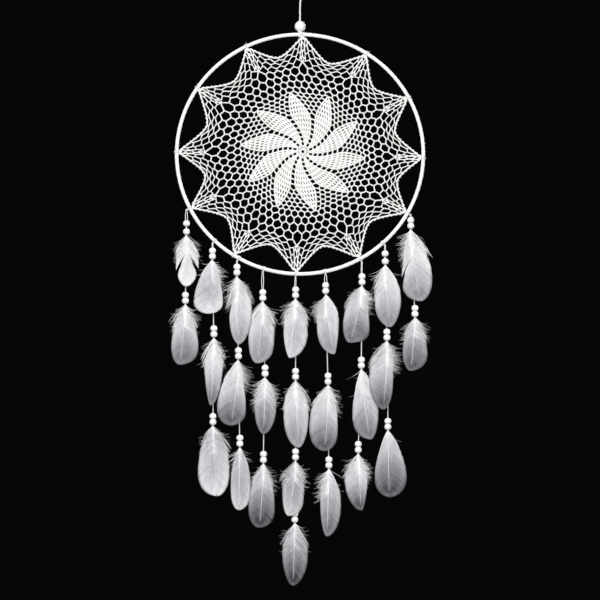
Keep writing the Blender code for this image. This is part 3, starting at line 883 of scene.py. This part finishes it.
# How each feather differs. left and right: how far its vane's edges stand from its thread, in mm.
# wide: where it is widest, as a share of its length. round: how blunt its tip is. down_left and
# down_right: how much down stands out there. top, middle and low: how white it is there; these greys
# are painted shade on the vane. splits: where it is parted, as (side, share, how far the vane is worn
# back below it).
LOOKS = {
    (1, 1): Look(13.0, 15.5, 0.50, 2.4, 0.9, 1.0, 1.00, 0.90, 0.90, ((-1, 0.36, 1), (1, 0.33, 1))),
    (1, 2): Look(17.5, 16.5, 0.70, 2.6, 1.2, 1.2, 0.94, 0.62, 0.22, ()),
    (2, 1): Look(23.5, 13.5, 0.78, 2.2, 0.3, 1.1, 0.76, 0.62, 0.80, ((-1, 0.50, 0),)),
    (2, 2): Look(12.0, 11.5, 0.36, 1.7, 0.9, 0.7, 1.00, 0.67, 0.22, ()),
    (2, 3): Look(18.5, 21.0, 0.62, 2.8, 0.6, 1.2, 0.62, 0.66, 0.78, ()),
    (3, 1): Look(9.7, 19.0, 0.55, 1.9, 1.2, 1.3, 0.88, 0.78, 0.42, ((-1, 0.13, 0.8),)),
    (3, 2): Look(27.0, 9.5, 0.74, 2.4, 0.3, 1.0, 0.88, 0.68, 0.14, ()),
    (3, 3): Look(11.3, 13.6, 0.58, 3.4, 0.4, 0.4, 0.56, 0.52, 0.64, ()),
    (4, 1): Look(18.0, 14.4, 0.46, 4.0, 0.4, 1.5, 0.84, 0.67, 0.38, ()),
    (4, 2): Look(13.4, 14.0, 0.55, 1.8, 1.5, 1.2, 0.84, 0.48, 0.17, ((1, 0.30, 0),)),
    (4, 3): Look(18.8, 14.2, 0.66, 3.0, 0.6, 0.7, 0.74, 0.40, 0.04, ()),
    (5, 1): Look(15.0, 15.4, 0.58, 1.9, 1.7, 1.1, 0.84, 0.70, 0.66, ()),
    (5, 2): Look(15.0, 16.4, 0.50, 2.2, 0.7, 1.4, 0.92, 0.68, 0.38, ()),
    (5, 3): Look(16.5, 10.4, 0.40, 4.6, 0.9, 1.0, 0.52, 0.48, 0.62, ()),
    (5, 4): Look(15.5, 16.5, 0.52, 1.8, 0.7, 0.6, 0.64, 0.35, 0.03, ()),
    (6, 1): Look(11.2, 16.6, 0.46, 2.4, 1.2, 0.2, 0.84, 0.70, 0.40, ()),
    (6, 2): Look(23.8, 12.2, 0.62, 2.8, 0.6, 1.0, 0.92, 0.65, 0.13, ()),
    (6, 3): Look(10.6, 15.0, 0.52, 2.2, 1.6, 0.3, 0.72, 0.48, 0.20, ()),
    (7, 1): Look(24.0, 9.4, 0.70, 3.0, 1.8, 1.6, 0.80, 0.60, 0.20, ()),
    (7, 2): Look(11.0, 21.5, 0.62, 2.6, 0.1, 0.6, 0.92, 0.67, 0.24, ()),
    (7, 3): Look(17.0, 11.4, 0.50, 1.6, 1.1, 1.3, 0.86, 0.67, 0.11, ()),
    (8, 1): Look(14.0, 20.0, 0.58, 1.8, 1.1, 0.4, 0.96, 0.72, 0.32, ((-1, 0.34, 0.15),)),
    (8, 2): Look(22.5, 7.5, 0.55, 2.2, 0.7, 1.3, 0.84, 0.62, 0.12, ()),
    (8, 3): Look(16.6, 23.5, 0.70, 2.4, 0.0, 0.1, 0.76, 0.43, 0.09, ()),
    (9, 1): Look(11.6, 27.0, 0.70, 2.4, 1.9, 1.0, 1.00, 0.83, 0.36, ((-1, 0.40, 0.4),)),
    (9, 2): Look(15.6, 15.6, 0.68, 2.2, 0.9, 1.3, 0.74, 0.43, 0.11, ()),
}
BARBS = 96  # on each side of the vane
BARB_STEPS = 8
DOWN_HAIRS = 70
DOWN_TUFTS = 11
DOWN_REACH = 17 * MM
BARB_SLANT = 0.27
CURL = 2.0 * MM  # how far the vane's edges turn back


def frame_points(name):
    return np.array([v.co for v in frame["nodes"][name].data.vertices])


def bead_profile(radius, height, hole):
    """A turned bead: round sides, a small worn rim round the hole, and the bore."""
    rim = hole + 0.35 * MM
    last = math.acos((rim / radius) ** (1 / 0.75))
    turn = np.linspace(-last, last, 17)
    sides = [(radius * math.cos(t) ** 0.75, height / 2 * math.sin(t) / math.sin(last)) for t in turn]
    bore = [(hole, h) for h in np.linspace(height / 2 - 0.15 * MM, 0.15 * MM - height / 2, 5)]
    return sides + bore, np.array([1.0] * len(sides) + [0.0] * len(bore))


def make_beads(name, node, centres, wood):
    for k, centre in enumerate(centres):
        shape = Shape()
        profile, shade = bead_profile(BEAD_RADIUS * chance.uniform(0.985, 1.0), BEAD_HEIGHT, BEAD_HOLE)
        lathe(shape, profile, centre, 30, shade[::-1])
        bead = shape.build(f"{name}_bead_{k + 1}", name, wood)
        if k == 0:
            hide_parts(node)


def make_thread(name, top, bottom, cotton_finish, free, bow):
    """One tier's thread, from where it hangs down into its beads: doubled on the first tier, then single."""
    start, end = np.array(top, float), np.array(bottom, float)
    sway = chance.uniform(-0.35, 0.35) * MM
    count = max(6, round((start[2] - end[2]) / (0.45 * MM)))
    share = np.linspace(0, 1, count + 1)[:, None]
    path = start + (end - start) * share + sway * np.sin(math.pi * share) * RIGHT
    shape = Shape()
    if free:
        rope(shape, path, THREAD_DIAMETER / 2, 2.4 * MM, 0.26, 8)
    else:
        apart = (0.42 + bow * np.sin(math.pi * np.minimum(share / 0.72, 1))) * MM * RIGHT
        for side in (-1, 1):
            rope(shape, path + side * apart, 0.5 * MM, 2.2 * MM, 0.26, 8)
    thread = shape.build(f"{name}_thread", name, cotton_finish)


def flat_tubes(shape, path, width, thick, tilt, shade):
    """Thin tapering blades along many paths, shaped (blades, steps, 3)."""
    tangent = unit(np.gradient(path, axis=1))
    flat = unit(np.cross(tangent, np.cross(tangent, BACK)))
    across = unit(np.cross(tangent, flat))
    wide = width * (np.cos(tilt) * across + np.sin(tilt) * flat)
    deep = thick * (np.cos(tilt) * flat - np.sin(tilt) * across)
    shape.skin(np.stack([path + wide, path + deep, path - wide, path - deep], 2), shade[..., None])


def towards(side, degrees):
    """A direction in the feather's plane, this far from straight down."""
    a = np.radians(degrees)
    return np.stack([side * np.sin(a), 0 * a, -np.cos(a)], -1)


def add_down(shape, side, shaft, count, reach, size, whiteness):
    """Loose barbs at a feather's top: they leave the shaft downwards, then bend out and curl."""
    root = shaft(chance.uniform(0.01, 0.36, count))
    long = reach * chance.uniform(0.6, 1.5, count)[:, None]
    first, then = chance.uniform(12, 44, count), chance.uniform(30, 84, count)
    last = then + chance.normal(10, 30, count)
    sway = chance.normal(0, 0.9, (count, 1)) * MM * BACK
    p1 = root + 0.42 * long * towards(side, first)
    p2 = p1 + 0.36 * long * towards(side, then) + sway
    p3 = p2 + 0.26 * long * towards(side, last) + sway
    t = np.linspace(0, 1, 9)[None, :, None]
    path = ((1 - t) ** 3 * root[:, None] + 3 * t * (1 - t) ** 2 * p1[:, None]
            + 3 * t**2 * (1 - t) * p2[:, None] + t**3 * p3[:, None])
    taper = (size * np.linspace(1, 0.3, 9))[None, :, None]
    flat_tubes(shape, path, taper, taper * 0.6, 0.0, np.full(path.shape[:2], whiteness))


def part_vane(root, end, reach, lift, place, worn):
    """Part the vane at a place: the barbs above it hang lower and lie back, those below stand forward and
    may be worn short."""
    gap = root - place
    above = np.exp(-((gap / 0.10) ** 2)) * (gap <= 0)
    below = np.exp(-((gap / 0.16) ** 2)) * (gap > 0)
    end = end + (0.015 + 0.075 * worn) * above - 0.02 * below * (gap < 0.05) * (worn == 0)
    reach = reach * (1 + worn * (0.04 * above - 0.5 * below))
    return end, reach, lift + (0.9 * above - 0.7 * below) * MM


def make_feather(name, under, tip, length, look, finish):
    """A goose feather: shaft, flat overlapping barbs on each side, and down at its top."""
    shape = Shape()

    def axis(s):
        return tip * s**1.6

    def shaft(s):
        s = np.asarray(s, float)
        return under + np.stack([axis(s), -QUILL_FORWARD - FEATHER_BOW * s**1.3, -length * s], -1)

    def outline(s, edge):
        rise = np.sin(math.pi / 2 * np.minimum(s / look.wide, 1)) ** 1.05
        past = np.clip((s - look.wide) / (1 - look.wide), 0, 1)
        full = rise * (1 - past**look.round) ** 0.55
        return axis(s) * (1 - full) + edge * full

    s = np.concatenate([[-0.038, 0.0], np.linspace(0.02, 0.90, 26)])
    line = shaft(np.maximum(s, 0)) - np.minimum(s, 0)[:, None] * length * UP
    line[:, 1] -= 0.12 * MM
    radii = np.interp(s, (-0.04, 0.0, 0.1, 0.6, 0.90), (0.68, 0.66, 0.44, 0.26, 0.08)) * MM
    rope(shape, line, radii, 1, 0.0, 8, first=RIGHT, shade=0.97)

    roots = np.linspace(0, 0.97, 200)
    ends = roots + BARB_SLANT * (1 - roots) ** 0.42  # where a barb ends, for where it leaves the shaft
    sides = ((-1, -look.left * MM, look.down_left), (1, look.right * MM, look.down_right))
    for side, edge, fluff in sides:
        s = np.linspace(BARB_SLANT + 0.01, 1, 400)
        run = lengths(np.stack([outline(s, edge), length * s], -1))
        end = np.interp(np.linspace(0, run[-1], BARBS), run, s)
        root = np.interp(end, ends, roots)
        reach = np.ones(BARBS) + chance.normal(0, 0.012, BARBS)
        lift = chance.normal(0, 0.10, BARBS) * MM
        for split_side, place, worn in look.splits:
            if split_side == side:
                end, reach, lift = part_vane(root, end, reach, lift, place, worn)
        loose = np.clip((0.24 - root) / 0.24, 0, 1) * min(fluff, 1.2)
        reach *= 1 + loose * chance.normal(0.16, 0.26, BARBS)
        end = np.clip(end + loose * chance.normal(0.01, 0.025, BARBS), 0.05, 1)
        p0 = shaft(root)
        x_end = axis(end) + (outline(end, edge) - axis(end)) * reach
        fold = CURL * ((x_end - axis(end)) / edge) ** 2
        bow = FEATHER_BOW * end**1.3
        p2 = under + np.stack([x_end, fold + lift - QUILL_FORWARD - bow, -length * end], -1)
        p1 = p0 + (p2 - p0) * np.array([0.60, 0.35, 0.36]) - 0.25 * MM * BACK
        t = np.linspace(0, 1, BARB_STEPS)[None, :, None]
        path = (1 - t) ** 2 * p0[:, None] + 2 * t * (1 - t) * p1[:, None] + t**2 * p2[:, None]
        along = np.linspace(0, 1, BARB_STEPS)[None]
        taper = np.interp(along[0], (0, 0.5, 0.85, 1), (0.70, 1.0, 1.0, 0.5))[None]
        width = (0.58 * run[-1] / BARBS * taper * (1 - 0.55 * loose[:, None]))[..., None]
        tilt = chance.normal(0.16, 0.12, (BARBS, 1, 1)) * side
        here = -(path[..., 2] - under[2]) / length
        # Painted light and shade: full white at the very top, where the light falls, then the feather's top,
        # middle and low greys.
        tones_with_shade = (1.0, look.top, look.middle, look.low, look.low)
        white = np.interp(here, (0.0, 0.16, 0.5, 0.88, 1.0), tones_with_shade)
        # Painted highlight: the barbs' outer ends, along the vane's edges, are brightened.
        rim = 0.10 * np.clip((along - 0.72) / 0.28, 0, 1)
        ripple = 0.05 * np.cos(along * 2.6 * math.pi)
        streak = chance.normal(0, 0.035, (BARBS, 1))
        flat_tubes(shape, path, width, (0.07 * MM * taper)[..., None], tilt,
                   np.clip(white + rim + ripple + streak, 0, 1))
        add_down(shape, side, shaft, round(DOWN_HAIRS * fluff), DOWN_REACH, 0.16 * MM, 0.97)
        add_down(shape, side, shaft, round(DOWN_TUFTS * fluff), 0.85 * DOWN_REACH, 0.30 * MM, 0.97)
    return shape.build(f"{name}_feather", name, finish)


# How far a strand's two top threads stand apart, in mm
THREAD_BOWS = {1: 0.9, 4: 0.8, 5: 0.35, 6: 1.1, 9: 0.5}
USUAL_BOW = 0.15


def make_strands(cotton_finish, wood, vane):
    anchors = {j["name"]: np.array(j["pos_m"], float) for j in frame["joints"] if "pos_m" in j}
    hoop_knots = Shape()
    for number, (angle, tiers) in enumerate(zip(STRAND_ANGLES, STRAND_TIERS), 1):
        if angle not in TIE_ANGLES:
            tails = ((1 if number % 2 else -1, chance.uniform(-0.6, 0.2), chance.uniform(2.5, 4.5)),)
            tie(hoop_knots, angle, 0.55 * MM, 2, tails)
        out = unit(from_down(angle, 1) - HOOP_CENTRE)
        knot_blob(hoop_knots, HOOP_CENTRE + (HOOP_RADIUS + WRAP_RADIUS + 1.25 * MM) * out, out, 1.15 * MM)
        for level in range(1, tiers + 1):
            name = f"strand_{number}_tier_{level}"
            pivot = anchors[f"strand_{number}_swing_{level}"]
            points = frame_points(f"strand_{number}_beads_{level}")
            bottom = points[:, 2].min()
            lowest = points[points[:, 2] < bottom + 0.1 * MM]
            under = np.array([lowest[:, 0].mean(), lowest[:, 1].mean(), bottom])
            off_axis = np.hypot(points[:, 0] - under[0], points[:, 1] - under[1])
            low_part = points[:, 2] < bottom + 22 * MM
            wide = np.unique(points[(off_axis > 0.95 * BEAD_RADIUS) & low_part][:, 2].round(5))
            centres = [np.array([under[0], under[1], (wide[-2] + wide[-1]) / 2]),
                       np.array([under[0], under[1], (wide[0] + wide[1]) / 2])]
            make_beads(name, f"strand_{number}_beads_{level}", centres, wood)
            start, end = pivot + THREAD_START * UP, under + THREAD_END * UP
            bow = THREAD_BOWS.get(number, USUAL_BOW)
            make_thread(name, start, end, cotton_finish, level > 1, bow)
            points = frame_points(f"strand_{number}_feather_{level}")
            lowest = points[:, 2].min()
            length = under[2] - lowest
            tip = points[points[:, 2] < lowest + 0.1 * MM][:, 0].mean() - under[0]
            feather = make_feather(name, under, tip, length, LOOKS[number, level], vane)
            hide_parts(f"strand_{number}_feather_{level}")
    hoop_knots.build("strand_knots", "hoop", cotton_finish)


# ---------------------------------------------------------------- build

make_camera()
make_studio()
hanging_cotton = cotton("hanging_cotton", (0.90, 0.895, 0.88), (0.56, 0.54, 0.51), 0.5)
crochet_cotton = cotton("crochet_cotton", (0.89, 0.89, 0.885), (0.56, 0.56, 0.55), 0.4)
painted_wood = wood_material()
make_hanging_cord(hanging_cotton)
make_top_bead(painted_wood)
make_hitch(hanging_cotton)
make_strands(crochet_cotton, painted_wood, feather_material())
steel = steel_material()
frame["nodes"]["hoop_core"].data.materials.clear()
frame["nodes"]["hoop_core"].data.materials.append(steel)
make_ribbon(ribbon_material())
make_doily(crochet_cotton)
make_doily_ties(crochet_cotton)
